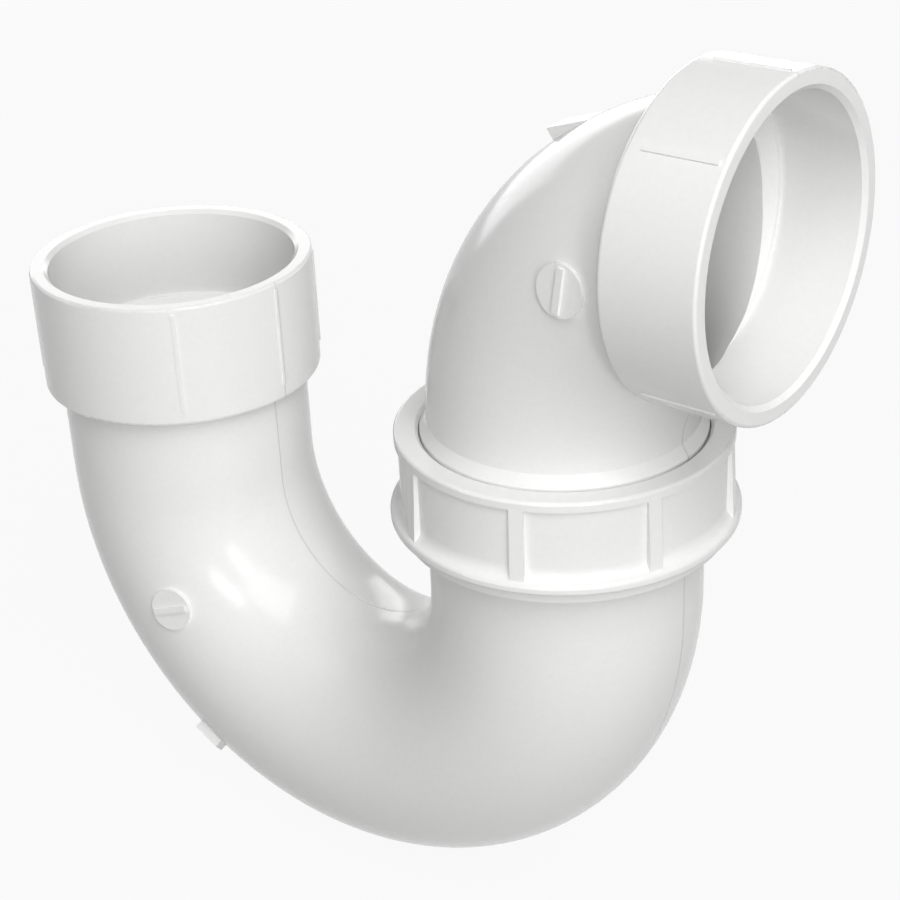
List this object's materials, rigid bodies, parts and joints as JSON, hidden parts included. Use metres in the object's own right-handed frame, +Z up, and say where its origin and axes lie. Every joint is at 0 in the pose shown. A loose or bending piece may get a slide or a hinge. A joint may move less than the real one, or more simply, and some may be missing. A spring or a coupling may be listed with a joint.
{
  "type": "p-trap with union",
  "caption": "White plastic drain trap: a U-shaped bend with a pipe socket on one leg, and a ribbed union nut that holds a swivelling outlet elbow with its own socket on the other.",
  "frame": {"origin": "centre of the stop ledge at the bottom of the inlet socket, where the end of the inlet pipe seats", "axes": "+Z up along the inlet axis, +X from the inlet leg towards the union and along the outlet axis, +Y to the left of that"},
  "size_m": [0.2049, 0.077, 0.214],
  "materials": {
    "white_pvc": "satin moulded PVC",
    "black_rubber": "matt elastomer"
  },
  "bodies": {
    "trap_bend": {"trap_bend": "white_pvc"},
    "union_washer": {"union_washer": "black_rubber"},
    "union_nut": {"union_nut": "white_pvc"},
    "outlet_elbow": {"outlet_elbow": "white_pvc"}
  },
  "joints": [
    {"name": "union_lift", "type": "slide", "parent": "trap_bend", "child": "union_washer", "axis": [0, 0, 1], "range_m": [0, 0.0153]},
    {"name": "nut_turn", "type": "hinge", "parent": "union_washer", "child": "union_nut", "pos_m": [0.117, 0, -0.002], "axis": [0, 0, 1], "range_deg": [0, 1080]},
    {"name": "outlet_swivel", "type": "hinge", "parent": "union_washer", "child": "outlet_elbow", "pos_m": [0.117, 0, 0.005], "axis": [0, 0, 1], "continuous": true}
  ],
  "couplings": [
    {"joint": "union_lift", "follows": "nut_turn", "m_per_rad": 0.0008116}
  ]
}
